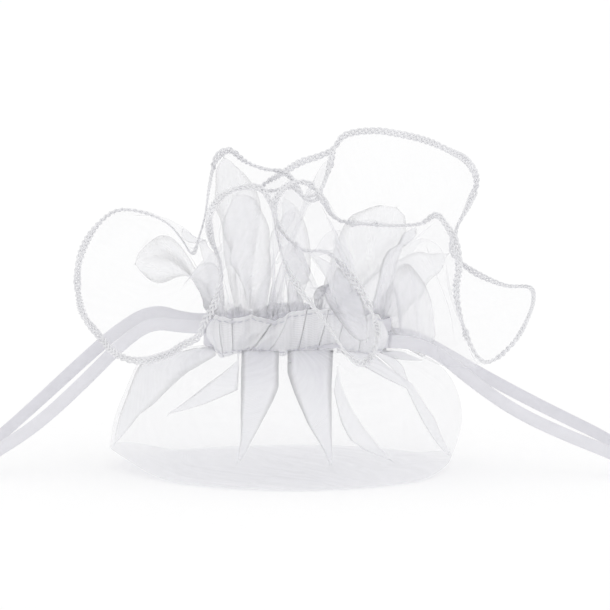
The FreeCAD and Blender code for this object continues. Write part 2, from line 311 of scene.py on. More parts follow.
def oval(fraction, half_width, half_depth):
    """Points and outward directions around the flattened neck.

    fraction runs from 0 to 1 from the front's left end, by the left end, the back, the right end
    and back along the front. The second half is the first one turned by 180 degrees.
    """
    flat = half_width - half_depth
    bow = math.pi * half_depth
    lap = bow + 2 * flat
    run = (np.asarray(fraction, float) % 1.0) * 2 * lap
    hand = np.where(run < lap, -1.0, 1.0)
    run = run % lap
    turn = np.minimum(run, bow) / half_depth
    out = hand[:, None] * np.stack([np.sin(turn), np.cos(turn)], axis=1)
    at = out * half_depth
    at[:, 0] += NECK_X + hand * (flat - np.maximum(run - bow, 0))
    return at, out


def gather(depth, columns):
    """How far in each column lies: deep, uneven pleats."""
    s = np.arange(columns) / columns
    uneven = s + 0.006 * wobble(s, (5, 9, 14), 3)
    fold = 0.5 - 0.5 * np.cos(2 * math.pi * GATHERS * uneven)
    size = 1 + 0.35 * wobble(s, (7, 13, 22, 31), 4)
    return depth * size * fold


def neck_ring(height, depth, columns):
    """The gathered cloth's ring at a height of the neck."""
    at, out = oval(np.arange(columns) / columns, NECK_HALF_WIDTH - 0.25, NECK_HALF_DEPTH - 0.25)
    at = at - out * gather(depth, columns)[:, None]
    return np.column_stack([at, np.full(columns, height)])


# ---------------- pressed pleats

def creases_apart(tracks):
    """Left creases, right creases and how far each pleat is folded, none over its neighbour.

    Above its tip a pleat is flat: its columns spread over a narrow band there.
    """
    lefts = np.array([left for left, _, _ in tracks])
    rights = np.array([right for _, right, _ in tracks])
    folded = smooth((rights - lefts) / FOLDING_SHARE)
    middles = (lefts + rights) / 2
    lefts = np.minimum(lefts, middles - CLOSED_HALF * (1 - folded))
    rights = np.maximum(rights, middles + CLOSED_HALF * (1 - folded))
    overlap = np.maximum(rights + PLEAT_SPACE - next_creases(lefts), 0) / 2
    return lefts + np.roll(overlap, 1, axis=0), rights - overlap, folded


def next_creases(lefts):
    """Where the pleat after each one begins; the first comes again after a whole turn."""
    turns = np.zeros((len(lefts), 1))
    turns[-1] = 1.0
    return np.roll(lefts, -1, axis=0) + turns


def folded_columns(tracks, spare):
    """Each column's place round the cloth, its lift off it and its closeness, row by row."""
    lefts, rights, folded = creases_apart(tracks)
    following = next_creases(lefts)
    shares, lifts, close = [], [], []
    for i, (_, _, layers) in enumerate(tracks):
        left, right, fold = lefts[i], rights[i], folded[i]
        total = layers * FOLD_COLUMNS
        for k in range(total):
            leg, s = k // FOLD_COLUMNS, k % FOLD_COLUMNS / FOLD_COLUMNS
            zigzag = s if leg % 2 == 0 else 1 - s
            where = (1 - fold) * k / total + fold * zigzag
            shares.append(left + (right - left) * where)
            lifts.append(PLEAT_LAYER * ((layers - 1) / 2 - leg) * fold)
            close.append(fold)
        for s in np.arange(spare) / spare:
            shares.append(right * (1 - s) + following[i] * s)
            lifts.append(-PLEAT_LAYER * (layers - 1) / 2 * fold * (1 - smooth(s * 2)))
            close.append(np.zeros_like(fold))
    return (np.array(values).T for values in (shares, lifts, close))


def fold_pleats(grid, tracks, spare):
    """The cloth's grid with its pleats folded over and pressed flat.

    grid is rows of points round the cloth. Each track is (left, right, layers): where the pleat's
    two creases lie in each row, in shares of the way round, and how many layers lie over each other.
    spare is the number of columns between two pleats. Gives the points, each one's share of the way
    round, and how closely the threads lie there.
    """
    rows, fine = grid.shape[:2]
    tracks = sorted(tracks, key=lambda track: track[0][0] + track[1][0])
    shares, lifts, close = folded_columns(tracks, spare)
    out = unit(np.cross(np.roll(grid, -2, 1) - np.roll(grid, 2, 1), np.gradient(grid, axis=0)))
    if (out * (grid - grid.mean((0, 1)))).sum() < 0:
        out = -out
    points = np.empty((rows, shares.shape[1], 3))
    for r in range(rows):
        place = (shares[r] % 1.0) * fine
        before = np.floor(place).astype(int) % fine
        part = (place - np.floor(place))[:, None]
        at = grid[r][before] * (1 - part) + grid[r][(before + 1) % fine] * part
        points[r] = at + out[r][before] * lifts[r][:, None]
    return points, shares, close


# ---------------- the ruffle and its edge

# The cloth's free edge, lobe by lobe, from the valley at the left outlet and round by the back
EDGE = [
    # left lobe, hanging forward
    (-23, -14, 35.5), (-24.5, -17, 32.5), (-28, -20, 31), (-32, -23, 29), (-38, -24, 28),
    (-43, -23, 29.5), (-47.5, -20, 34), (-50.5, -17, 38), (-52, -13, 44), (-51, -9, 51),
    (-48, -6, 56.5), (-43.5, -3, 60), (-37.5, 0, 59.5), (-31.5, 2, 56.5), (-28.5, 3, 53),
    (-26, 3, 49.5),
    # back-left lobe
    (-24.5, 6, 53), (-23, 9, 58), (-22, 13, 65), (-20.5, 16, 70.5), (-17.5, 18, 72),
    (-14, 18, 69.5), (-10, 17, 68), (-4.5, 15, 67), (-2, 13, 64.5), (0, 11, 61.5), (2.5, 11, 61),
    # narrow peak
    (3.5, 11, 63), (5, 13, 66.5), (6, 14, 70.5), (6.5, 15, 72.5), (6.2, 16.5, 70.5),
    # back to the left behind it
    (5, 18, 66), (3, 19.5, 62), (0, 20, 61), (-3, 20, 63.5), (-7, 20, 62.5), (-10.5, 21.5, 62.5),
    # great back lobe
    (-9, 23, 64), (-6, 26, 65.5), (-1, 27, 68.5), (3.5, 27, 70), (6.5, 27, 71.5), (9, 28, 74.5),
    (16, 30, 75.5), (22.5, 31, 74.5), (29, 30, 73), (34, 28, 71), (37.5, 26, 69), (40, 23, 64.5),
    (38, 20, 59), (35, 17, 53.5), (34.5, 15, 48.5),
    # right lobe, hanging
    (38, 13, 45), (46, 10, 41.5), (52, 4, 41.5), (52.5, -1, 39), (50.5, -6, 34.5), (47, -12, 30),
    (42.5, -17, 27), (40, -19, 27.5),
    # front-right lobe
    (37.5, -17, 31), (35.5, -16, 37), (34.5, -15, 43.5), (35, -15, 48.5), (34, -14, 54.5),
    (32, -13, 58), (30, -12, 60), (26.5, -11, 58), (22, -11, 57.5), (15, -9, 57.5), (8.5, -6, 58),
    (6, -5, 59.5), (4.5, -4, 62), (3, -3, 64.5), (0.5, -3, 66.5), (-3.5, -5, 66.5),
    (-6.5, -8, 63.5), (-7, -9, 60.5),
    # front spout, right side, lip and left side
    (-6, -9, 57), (-3, -9, 53.5), (0, -9, 51.5), (4.5, -11, 51.5), (8, -14, 49), (12, -18, 44.5),
    (14.5, -23, 40.5), (16.5, -28, 34.5), (15, -32, 30), (12.5, -34, 28.5), (9.5, -33, 30.5),
    (7, -32, 34), (3, -29, 39.5), (-1, -25, 44), (-4.5, -19, 49.5), (-6.5, -14, 56.5),
    # front-left lobe
    (-7.5, -12, 62), (-10, -12, 66), (-14, -13, 66.5), (-18.5, -15, 65), (-21.5, -17, 61),
    (-21.5, -17, 55.5), (-19.5, -16, 50), (-19, -15, 45.5), (-20.5, -14, 40),
]

RIM_LENGTH = 635.0         # the edge's length along its waves
RIM_WAVES = 22
CLOTH_COLUMNS = 460        # for the settling, 10 to each gather
CLOTH_ROWS = 26
BIAS_GIVE = 0.12           # how far the woven cloth stretches on the bias
SPOUT_SHARE = 0.825        # where the front spout hangs, in shares of the way round
MOST_BULGE = 34.0          # how far the cloth may bow out between the neck and the edge
RUFFLE_SPARE = 40          # columns between two pleats


def rim_line(columns):
    """The edge with the fine waves of its full length, which lie mostly front to back."""
    edge = through(EDGE, columns)
    s = np.arange(columns) / columns
    wave = np.sin(2 * math.pi * (RIM_WAVES * s + 0.9 * wobble(s, (3, 5, 8), 8)))
    wave = wave * (1 + 0.3 * wobble(s, (4, 9, 15), 9))
    small, large = 0.0, 5.0
    for _ in range(20):
        size = (small + large) / 2
        rim = edge.copy()
        rim[:, 1] += size * wave
        rim[:, 2] -= size * wave * VIEW_SLOPE
        length = np.linalg.norm(np.roll(rim, -1, 0) - rim, axis=1).sum()
        small, large = (size, large) if length < RIM_LENGTH else (small, size)
    return rim


# The two points of each distance that the cloth keeps, as (columns apart, rows apart): along the
# threads, on the bias, and two apart, which is what stops a fold from closing
HELD = [(1, 0), (0, 1), (1, 1), (-1, 1), (2, 0), (0, 2)]


def held_pairs(shape):
    """Groups of index pairs whose distance the cloth keeps, no point twice in one group."""
    rows, columns = shape
    r, c = (index.ravel() for index in np.indices(shape))
    groups = []
    for parity in (0, 1):
        for step in HELD:
            across, up = step
            place = r // up if up else c // across
            keep = (place % 2 == parity) & (r + up < rows)
            other = (r + up) * columns + (c + across) % columns
            groups.append(((r * columns + c)[keep], other[keep], step))
    return groups


def length_and_pull(step, across, along, stiff):
    """A pair's length in the flat cloth, and how strongly the cloth keeps it.

    across and along are the flat distances between neighbours, and stiff runs from 0 at the
    gathers, which fold freely, to 1 above them.
    """
    length = np.hypot(step[0] * across, step[1] * along)
    if step == (2, 0):
        return length * (0.25 + 0.73 * stiff), 0.12 + 0.25 * stiff
    if step == (0, 2):
        return length * 0.985, 0.35
    return length, 0.25 if all(step) else 1.0


def strain(step, length, rest):
    """How much too long a pair is: a bend only resists closing, and the bias gives a little."""
    error = length - rest
    if 2 in step:
        return np.minimum(error, 0.0)
    if all(step):
        return np.where(np.abs(error) < BIAS_GIVE * rest, 0.0, error)
    return error


def settle(grid, cuts):
    """The cloth at rest between its held neck and its held edge, with its threads' real lengths."""
    rows, columns = grid.shape[:2]
    across = 2 * math.pi * np.asarray(cuts) / columns
    along = (cuts[-1] - cuts[0]) / (rows - 1)
    row_of = np.repeat(np.arange(rows), columns)
    free = ((row_of > 0) & (row_of < rows - 1)).astype(float)
    stiff = smooth((np.arange(rows) / (rows - 1) - 0.02) / 0.3)
    groups = held_pairs((rows, columns))
    points = grid.reshape(-1, 3).copy()
    for _ in range(SETTLE_PASSES):
        for a, b, step in groups:
            level = (across[row_of[a]] + across[row_of[b]]) / 2
            rest, pull = length_and_pull(step, level, along, stiff[row_of[a]])
            gap = points[b] - points[a]
            length = np.maximum(np.linalg.norm(gap, axis=1), 1e-6)
            error = strain(step, length, rest)
            total = np.maximum(free[a] + free[b], 1.0)
            move = gap * (pull * error / length / total)[:, None]
            points[a] += move * free[a][:, None]
            points[b] -= move * free[b][:, None]
    return points.reshape(rows, columns, 3)


def finer(grid):
    """The grid with a smooth point between each two neighbours, both ways."""
    rows, columns = grid.shape[:2]
    wide = np.empty((rows, 2 * columns, 3))
    wide[:, 0::2] = grid
    near, far = grid + np.roll(grid, -1, 1), np.roll(grid, 1, 1) + np.roll(grid, -2, 1)
    wide[:, 1::2] = (9 * near - far) / 16
    tall = np.empty((2 * rows - 1, 2 * columns, 3))
    tall[0::2] = wide
    padded = np.concatenate([2 * wide[:1] - wide[1:2], wide, 2 * wide[-1:] - wide[-2:-1]])
    tall[1::2] = (9 * (padded[1:-2] + padded[2:-1]) - padded[:-3] - padded[3:]) / 16
    return tall


def bulge_directions(start, edge):
    """Which way the cloth bows between each place on the neck and the edge above it."""
    share = np.arange(len(start)) / len(start)
    high = smooth((edge[:, 2] - 38) / 14)
    side = np.clip(start[:, 1] / NECK_HALF_DEPTH, -1, 1)
    sagging = smooth((edge[:, 0] - 36) / 6)[:, None]
    way = np.column_stack([np.zeros(len(start)), side * (0.3 + 0.7 * high), 0.9 - 0.75 * high])
    way = way * (1 - sagging) + sagging * [0.1, -0.15, -1.0]
    spout = smooth(1.6 - np.abs(share - SPOUT_SHARE) / 0.045)[:, None]
    return unit(way * (1 - spout) + spout * [0.0, 0.8, 0.4])


def bowed(start, edge, bulge):
    """Rows of points on the curves from the neck to the edge, each bowed out by its own bulge."""
    t = np.linspace(0, 1, CLOTH_ROWS)[:, None, None]
    middle = start + (edge - start) * 0.3 + [0, 0, 5.0]
    control = middle + bulge_directions(start, edge) * bulge[:, None]
    return (1 - t) ** 2 * start + 2 * t * (1 - t) * control + t**2 * edge


def make_ruffle():
    """The cloth above the casing, from the gathers to its lobed edge."""
    columns = CLOTH_COLUMNS
    edge = rim_line(columns)
    start = neck_ring(NECK_TOP, 0.0, columns)
    bulge = np.full(columns, 8.0)
    for _ in range(30):
        length = np.linalg.norm(np.diff(bowed(start, edge, bulge), axis=0), axis=2).sum(0)
        bulge = np.clip(bulge + 0.6 * (EDGE_CUT - RUFFLE_CUT - length), 0, MOST_BULGE)
    rows = bowed(start, edge, blur(bulge, 20))
    fade = (1 - np.linspace(0, 1, CLOTH_ROWS)[:, None]) ** 1.3
    flutes = gather(GATHER_DEPTH, columns)[None, :] * fade
    _, out = oval(np.arange(columns) / columns, NECK_HALF_WIDTH, NECK_HALF_DEPTH)
    rows = rows - np.column_stack([out, np.zeros(columns)])[None] * flutes[..., None]
    rows = settle(rows, np.linspace(RUFFLE_CUT, EDGE_CUT, CLOTH_ROWS))
    for r in range(1, CLOTH_ROWS - 1):
        rows[r] = blur(rows[r], round(14 * smooth(r / CLOTH_ROWS * 2.2)))
    return finer(rows)


# Pleats in the ruffle, as (place at the neck, place at the tip, width, tip's height, layers,
# fullness); places and widths are shares of the way round, heights are shares of the ruffle, and a
# pleat of great fullness stays wide nearly to its tip
RUFFLE_PLEATS = [
    (0.034, 0.030, 0.026, 0.60, 3, 3), (0.088, 0.078, 0.070, 0.64, 3, 8),
    (0.158, 0.156, 0.022, 0.95, 3, 3), (0.222, 0.214, 0.044, 0.98, 3, 6),
    (0.262, 0.256, 0.020, 0.90, 3, 2), (0.300, 0.286, 0.022, 0.95, 3, 2),
    (0.352, 0.352, 0.036, 0.80, 3, 3), (0.425, 0.425, 0.054, 0.63, 3, 9),
    (0.490, 0.484, 0.030, 0.90, 3, 2), (0.580, 0.586, 0.046, 0.55, 3, 5),
    (0.655, 0.657, 0.020, 0.95, 5, 3), (0.704, 0.706, 0.022, 0.90, 3, 1),
    (0.752, 0.748, 0.020, 0.90, 3, 1), (0.813, 0.822, 0.032, 0.92, 5, 5),
    (0.862, 0.870, 0.028, 0.85, 3, 2), (0.914, 0.912, 0.022, 0.74, 5, 1),
    (0.948, 0.936, 0.044, 0.97, 3, 6),
]


def ruffle_tracks(height):
    """The ruffle's pleats as fold_pleats takes them, for rows at these shares of its height."""
    tracks = []
    for at_neck, at_tip, wide, tip, layers, fullness in RUFFLE_PLEATS:
        up = np.clip(height / tip, 0, 1)
        middle = at_neck + (at_tip - at_neck) * up
        half = wide / 2 * (1 - up**fullness)
        tracks.append((middle - half, middle + half, layers))
    return tracks


def ruffle_piece(rows):
    """The gathered neck and the ruffle above it, one cloth from under the casing to the edge."""
    columns = rows.shape[1]
    levels = np.linspace(NECK_BOTTOM, NECK_TOP, NECK_ROWS)[:-1]
    neck_rows = np.array([neck_ring(z, GATHER_DEPTH, columns) for z in levels])
    grid = np.concatenate([neck_rows, rows])
    cuts = np.concatenate([np.linspace(CASING_CUT, RUFFLE_CUT, NECK_ROWS)[:-1],
                           np.linspace(RUFFLE_CUT, EDGE_CUT, len(rows))])
    height = np.clip((cuts - RUFFLE_CUT) / (EDGE_CUT - RUFFLE_CUT), 0, 1)
    points, shares, close = fold_pleats(grid, ruffle_tracks(height), RUFFLE_SPARE)
    gathered = np.maximum(0.35 * close, 0.15 * smooth(1 - height * 2.5)[:, None])
    piece = mesh_piece("neck_and_ruffle", points, grid_faces(*points.shape[:2], True), sheer_cloth,
                       uv=cut_uv(cuts, shares), gathered=gathered)
    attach(piece, "pouch")
    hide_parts("organza_neck", "organza_ruffle")
    return piece


HEM_STRANDS = 3
HEM_SWING = 0.66           # how far each strand swings to either side of the edge
HEM_DEPTH = 0.2
HEM_PERIOD = 4.6           # length along the edge of one strand's swing there and back
HEM_STEPS = 16             # rings in one such swing
HEM_STRAND = 0.29          # a strand's radius
HEM_SIDES = 6

# Where the edge's thread is drawn thin, as (share of the way round, half of its share, thickness)
HEM_THIN = [(0.165, 0.024, 0.6), (0.525, 0.024, 0.6), (0.868, 0.03, 0.75)]


def hem_size(count):
    """How thick the edge's thread is at each place round the cloth; its usual size is 1."""
    size = np.ones(count)
    for middle, half, thickness in HEM_THIN:
        near = smooth(1.5 - np.abs(np.arange(count) / count - middle) / half)
        size = size * (1 - (1 - thickness) * near)
    return size


def strand_rings(centre, normal, radius):
    """Rings of points around a closed strand, which is slightly flattened."""
    turn = 2 * math.pi * np.arange(HEM_SIDES)[:, None] / HEM_SIDES
    way = unit(np.roll(centre, -1, 0) - np.roll(centre, 1, 0))
    side = unit(np.cross(way, normal))
    up = np.cross(side, way)
    return (centre[:, None] + side[:, None] * np.cos(turn) * radius
            + up[:, None] * 0.8 * np.sin(turn) * radius)


def merrowed_edge(rows):
    """The overlocked edge: strands of thread plaited over the cloth's rim."""
    rim = rows[-1]
    length = np.linalg.norm(np.roll(rim, -1, 0) - rim, axis=1).sum()
    count = round(length / HEM_PERIOD) * HEM_STEPS
    line, inner = through(rim, count), through(rows[-4], count)
    ahead = unit(np.roll(line, -1, 0) - np.roll(line, 1, 0))
    across = line - inner
    across = unit(blur(unit(across - ahead * (across * ahead).sum(1, keepdims=True)), 8))
    normal = np.cross(ahead, across)
    size = hem_size(count)[:, None]
    across, normal = across * size, normal * size
    in_strand = count * HEM_SIDES
    closed_faces = grid_faces(count + 1, HEM_SIDES, True) % in_strand
    points, faces = [], []
    for strand in range(HEM_STRANDS):
        phase = 2 * math.pi * (np.arange(count)[:, None] / HEM_STEPS + strand / HEM_STRANDS)
        centre = (line + across * (HEM_SWING * np.sin(phase))
                  + normal * (HEM_DEPTH * np.sin(2 * phase)))
        points.append(strand_rings(centre, normal, HEM_STRAND * size[..., None]))
        faces.append(strand * in_strand + closed_faces)
    piece = mesh_piece("merrowed_edge", points, np.vstack(faces), edge_thread)
    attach(piece, "pouch")
    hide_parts("merrow_edge")
    return piece


# ---------------- the wall and the base

# The base's outline, as (direction in degrees, radius from the neck's middle)
BASE = [(0, 35.4), (25, 37.5), (60, 38), (90, 38.5), (125, 40), (150, 43.5), (166, 44.5),
        (185, 41.5), (210, 38.5), (240, 38), (270, 38.5), (300, 37), (335, 35.8)]

# How the wall closes from the base to the neck, as (height, share of the way in)
WALL_MIDDLE = [(0.4, 0.0), (6.0, -0.02), (12.0, 0.02), (17.0, 0.1), (21.0, 0.24), (24.0, 0.44),
               (26.2, 0.72), (28.4, 1.0)]
WALL_LEFT = [(0.4, 0.0), (6.0, 0.02), (12.0, 0.07), (16.0, 0.12), (20.0, 0.17), (24.0, 0.24),
             (26.6, 0.45), (27.8, 0.72), (28.4, 1.0)]
WALL_RIGHT = [(0.4, 0.0), (5.0, -0.09), (10.0, -0.14), (14.7, -0.1), (20.5, 0.04), (24.6, 0.28),
              (26.9, 0.62), (28.4, 1.0)]

# Pleats pressed flat on the wall, as (front or back, layers, left crease, right crease); each
# crease is (sideways, height) points from its lower end up
WALL_PLEATS = [
    (-1, 3, [(-45.6, 1), (-43.5, 12), (-42.5, 16), (-39.5, 25)],
     [(-44.6, 1), (-38, 13), (-32, 19), (-26.5, 23.5), (-20.5, 27)]),
    (-1, 3, [(-31.5, 15), (-22, 22), (-15.5, 26.5)],
     [(-31.5, 15), (-23.5, 18), (-15.2, 21.5), (-15, 26.5)]),
    (-1, 5, [(-15.5, 5), (-14.5, 11), (-14.5, 28.4)],
     [(-15.5, 5), (-12, 11.5), (-7.5, 19.5), (-6, 22.5), (-6, 28.4)]),
    (-1, 5, [(6, 4.5), (4.5, 9), (1, 14.5), (-2, 20.5), (-4, 25), (-4, 28.4)],
     [(6, 4.5), (6, 18.5), (6, 22.5), (6.5, 28.4)]),
    (-1, 3, [(20, 6), (13.5, 9), (10, 11.5), (8, 15.5), (6.5, 21.5), (7.4, 26)],
     [(20, 6), (17, 9), (13.5, 13.5), (10.5, 17.5), (8, 22.5), (7.5, 26)]),
    (-1, 3, [(33, 3), (27, 13), (23, 20.4), (13.5, 25), (8.5, 27.5)],
     [(33.5, 3), (29.5, 13.5), (24.5, 20.8), (23.5, 21.5), (15, 27)]),
    (-1, 3, [(35.5, 4), (32, 18), (27, 24), (20, 25.5), (16, 27.5)],
     [(35.5, 4), (32, 18), (27, 24), (22, 26.4), (18.5, 27.5)]),
    (1, 3, [(25, 14), (20, 20), (14, 26), (12, 28.4)], [(25, 14), (23, 20), (18, 26), (16, 28.4)]),
    (1, 5, [(4, 12), (1, 20), (-2, 26), (-2, 28.4)], [(4, 12), (5, 20), (5, 26), (5, 28.4)]),
    (1, 5, [(-13, 12), (-13, 20), (-13, 26), (-13, 28.4)],
     [(-13, 12), (-9, 20), (-7, 26), (-7, 28.4)]),
    (1, 3, [(-33, 15), (-27, 22), (-20, 27), (-19, 28.4)],
     [(-33, 15), (-24, 22), (-16.5, 27), (-16, 28.4)]),
]


WALL_COLUMNS = 3000
WALL_ROWS = 44
WALL_SPARE = 36            # columns between two pleats
CLOSING = 30.0             # millimetres that a whole way in counts for, in spacing a profile's rows


def wall_rows(profile):
    """Heights and shares of the way in, evenly spaced along a profile."""
    steps = through([(z, k * CLOSING) for z, k in profile], WALL_ROWS, closed=False)
    return steps[:, 0], steps[:, 1] / CLOSING


def wall_profile(facing):
    """Each point's height and share of the way in, where facing runs from -1 left to 1 right."""
    weights = np.clip(-facing, 0, 1) ** 2, np.clip(facing, 0, 1) ** 2, 1 - facing**2
    height, inward = np.zeros((2, WALL_ROWS, WALL_COLUMNS))
    for profile, weight in zip((WALL_LEFT, WALL_RIGHT, WALL_MIDDLE), weights):
        heights, inwards = wall_rows(profile)
        height += heights[:, None] * weight
        inward += inwards[:, None] * weight
    return height, inward


def base_outline():
    """The base's edge, with as many points as the wall, from the front's left."""
    turn, r = np.array(BASE).T
    turn = np.radians(turn)
    knots = np.column_stack([NECK_X + r * np.cos(turn), r * np.sin(turn)])
    base = through(knots, WALL_COLUMNS)[::-1]
    first = np.argmin(np.linalg.norm(base - np.array([NECK_X - 18, -36.0]), axis=1))
    return np.roll(base, -first, axis=0)


def wall_grid():
    """The wall without its pressed pleats, in rows of points from the base to the neck."""
    base = base_outline()
    share = np.arange(WALL_COLUMNS) / WALL_COLUMNS
    neck, _ = oval(share, NECK_HALF_WIDTH + 0.1, NECK_HALF_DEPTH + 0.1)
    height, inward = wall_profile(unit(base - [NECK_X, 0])[:, 0])
    plan = base * (1 - inward[..., None]) + neck * inward[..., None]
    ahead = np.roll(plan, -3, 1) - np.roll(plan, 3, 1)
    out = unit(np.stack([-ahead[..., 1], ahead[..., 0]], axis=-1))
    up = np.linspace(0, 1, WALL_ROWS)[:, None]
    waves = 0.5 - 0.5 * np.cos(2 * math.pi * GATHERS * share)
    ripple = smooth((inward - 0.3) / 0.7) * 0.9 * waves
    sag = 0.6 * np.sin(math.pi * up) * wobble(share, (3, 5, 8, 11), 11)
    grid = np.dstack([plan + out * (sag - ripple)[..., None], height])
    lift_corners(grid, inward)
    return grid


def crease_shares(grid, crease, side, levels):
    """Where a crease meets each row of the wall, in shares of the way round."""
    knots_x, knots_z = np.array(crease).T
    shares = []
    for row, wanted in zip(grid, np.interp(levels, knots_z, knots_x)):
        on_side = np.flatnonzero(row[:, 1] * side > 0)
        shares.append(on_side[np.argmin(np.abs(row[on_side, 0] - wanted))] / WALL_COLUMNS)
    return np.unwrap(np.array(shares), period=1.0)


def wall_tracks(grid):
    """The wall's pleats as fold_pleats takes them, none over the one before it."""
    levels, _ = wall_rows(WALL_MIDDLE)
    tracks = []
    for side, layers, *creases in WALL_PLEATS:
        shares = [crease_shares(grid, crease, side, levels) for crease in creases]
        left, right = shares if side > 0 else shares[::-1]
        right = right + np.round(left - right)
        middle = (left + right) / 2
        closed = levels < max(crease[0][1] for crease in creases)
        left = np.where(closed, middle, np.minimum(left, middle))
        right = np.where(closed, middle, np.maximum(right, middle))
        tracks.append((left, right, layers))
    tracks.sort(key=lambda track: track[0][-1] + track[1][-1])
    for earlier, later in zip(tracks, tracks[1:]):
        later[0][:] = np.maximum(later[0], earlier[1])
        later[1][:] = np.maximum(later[1], later[0])
    return tracks


def make_wall():
    """The cloth from the base to the neck, with its pressed pleats as real Z folds."""
    grid = wall_grid()
    return fold_pleats(grid, wall_tracks(grid), WALL_SPARE)


def lift_corners(grid, inward):
    """The base's two side corners stand a little off the table."""
    left = 3.8 * smooth((-grid[..., 0] - 27) / 18) ** 1.5
    right = 2.6 * smooth((grid[..., 0] - 24) / 12) ** 1.5
    fade = np.clip(1 - inward * 2.5, 0, 1) * np.clip(1 - grid[..., 2] / 26, 0, 1)
    grid[..., 2] += (left + right) * fade


def wall_piece(points, shares, close):
    """The wall's mesh, its threads closer in the pleats and where it goes into the casing."""
    uv = cut_uv(np.linspace(FLOOR_CUT, CASING_CUT, WALL_ROWS), shares)
    up = np.linspace(0, 1, WALL_ROWS)[:, None]
    gathered = np.maximum(close * (0.3 + 1.3 * up), 0.5 * smooth((up - 0.86) / 0.14))
    piece = mesh_piece("pleated_wall", points, grid_faces(*points.shape[:2], True), sheer_cloth,
                       uv=uv, gathered=gathered)
    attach(piece, "pouch")
    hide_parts("organza_wall")
    return piece


FLOOR_ROWS = 26
FLOOR_HEIGHT = 0.35
FLOOR_CLOSE = 2.8          # the floor's threads look dense, as it is seen so flat


def make_floor(points):
    """The cloth under the gift: flat on the table, with the wall's lower edge as its rim."""
    rim = points[0]
    share = np.arange(len(rim)) / len(rim)
    middle = np.array([rim[:, 0].mean(), rim[:, 1].mean(), FLOOR_HEIGHT])
    rings = []
    for t in np.linspace(1, 0.002, FLOOR_ROWS):
        row = middle + (rim - middle) * t
        row[:, 2] = FLOOR_HEIGHT + (rim[:, 2] - FLOOR_HEIGHT) * smooth((t - 0.55) / 0.45)
        row[:, 2] += 0.25 * (1 - t**4) * t * (1 + wobble(share, (3, 5, 7), 21))
        rings.append(row)
    piece = mesh_piece("base", rings, grid_faces(FLOOR_ROWS, len(rim), True), sheer_cloth,
                       uv=cut_uv(np.linspace(FLOOR_CUT, 0.8, FLOOR_ROWS), share),
                       gathered=np.full((FLOOR_ROWS, len(rim)), FLOOR_CLOSE))
    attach(piece, "pouch")
    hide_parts("organza_floor")
    return piece


# ---------------- the casing and its stitches

CREASE_TOP = -7.0          # the deep slanting crease in the front strip, where it meets the top
CREASE_SLANT = 0.95        # and how far it runs to the left for each millimetre down


def casing_surface(side, x, z):
    """How far the casing's strip stands from the neck's middle, with the puckers of its gathers."""
    low, high = casing_low[2], casing_high[2]
    up = np.clip((z - low) / (high - low), 0, 1)
    middle = np.sin(math.pi * up)
    s = (x - casing_low[0]) / (casing_high[0] - casing_low[0])
    slant = s + 0.035 * side * (up - 0.5) + 0.015 * np.sin(4 * up + 9 * s)
    broad, fine = wobble(slant, (3, 5, 8), 31 + side), wobble(slant, (11, 15, 19), 35 + side)
    pucker = 0.75 * broad + 0.25 * fine
    depth = 0.2 + 2.1 * middle ** 0.7 + 1.9 * pucker * (0.15 + 0.85 * middle)
    if side < 0:
        crease = x - (CREASE_TOP - CREASE_SLANT * (high - z))
        depth = depth - 1.1 * np.exp(-(crease / 0.9) ** 2) * middle
        depth = depth + 0.7 * np.exp(-((crease - 2.2) / 1.2) ** 2)
    return NECK_HALF_DEPTH + np.maximum(depth, 0.1 + 0.9 * smooth(middle / 0.25))


# How the strip's sewn edges wander up and down, as (sideways, rise)
CASING_LOWER = [(-23, 2.2), (-21, 0.6), (-19, -1.3), (-16, -0.4), (-12, 0.3), (-6, -0.9), (0, 0.2),
                (7, 1.3), (9, 0.2), (14, -0.9), (18, -0.2), (20, 0.9)]
CASING_UPPER = [(-23, -0.8), (-20.5, 0.3), (-17, -0.8), (-12, 0.2), (-7, -1.2), (-3, 0.9), (2, 1.6),
                (8, 1.2), (12, -0.6), (16, 0.6), (20, -1.2)]


def casing_edge(x, z, side):
    """How far a place on the strip is moved up or down."""
    x = -np.asarray(x) * side
    up = np.clip((z - casing_low[2]) / (casing_high[2] - casing_low[2]), 0, 1)
    low, high = (np.interp(x, *np.array(knots).T) for knots in (CASING_LOWER, CASING_UPPER))
    s = (x - casing_low[0]) / (casing_high[0] - casing_low[0])
    return low + (high - low) * up + 0.3 * wobble(s, (9, 14, 20), 43)


# Folds of the gathered strip, as (left crease, right crease), each (sideways at the lower seam,
# sideways at the upper seam), for the front; the back has them mirrored
CASING_PLEATS = [
    ((-20.8, -21.2), (-18.6, -20.0)), ((-18.0, -19.4), (-16.4, -16.6)),
    ((-15.6, -10.6), (-12.4, -7.0)), ((-10.6, -4.6), (-8.8, -3.4)), ((-5.2, -1.2), (-1.6, 0.6)),
    ((0.4, 3.4), (3.0, 5.6)), ((5.4, 7.6), (7.2, 9.4)), ((10.4, 11.0), (12.2, 13.6)),
    ((14.2, 15.4), (16.4, 16.8)),
]

CASING_COLUMNS = 260
CASING_ROWS = 28
CASING_SPARE = 12          # columns between two folds
CASING_SEAM = 0.4          # how far the strip reaches past its frame box, above and below
CASING_END = 2.2           # how far the ends' corners are drawn in beside the ribbons
CASING_FULLNESS = 2.2      # the strip's length before it is gathered, for each length after


def casing_grid(side, x, z):
    """The strip before its folds, with puckers, wandering edges and rounded ends."""
    grid_x, grid_z = np.meshgrid(x, z)
    y = side * casing_surface(side, grid_x, grid_z)
    up = np.linspace(0, 1, len(z))[:, None]
    from_middle = (grid_x - NECK_X) / (x[-1] - NECK_X)
    drawn_in = CASING_END * (2 * up - 1) ** 2 * smooth((np.abs(from_middle) - 0.8) / 0.2)
    grid_x = grid_x - np.sign(from_middle) * drawn_in
    return np.stack([grid_x, y, grid_z + casing_edge(grid_x, grid_z, side)], axis=-1)


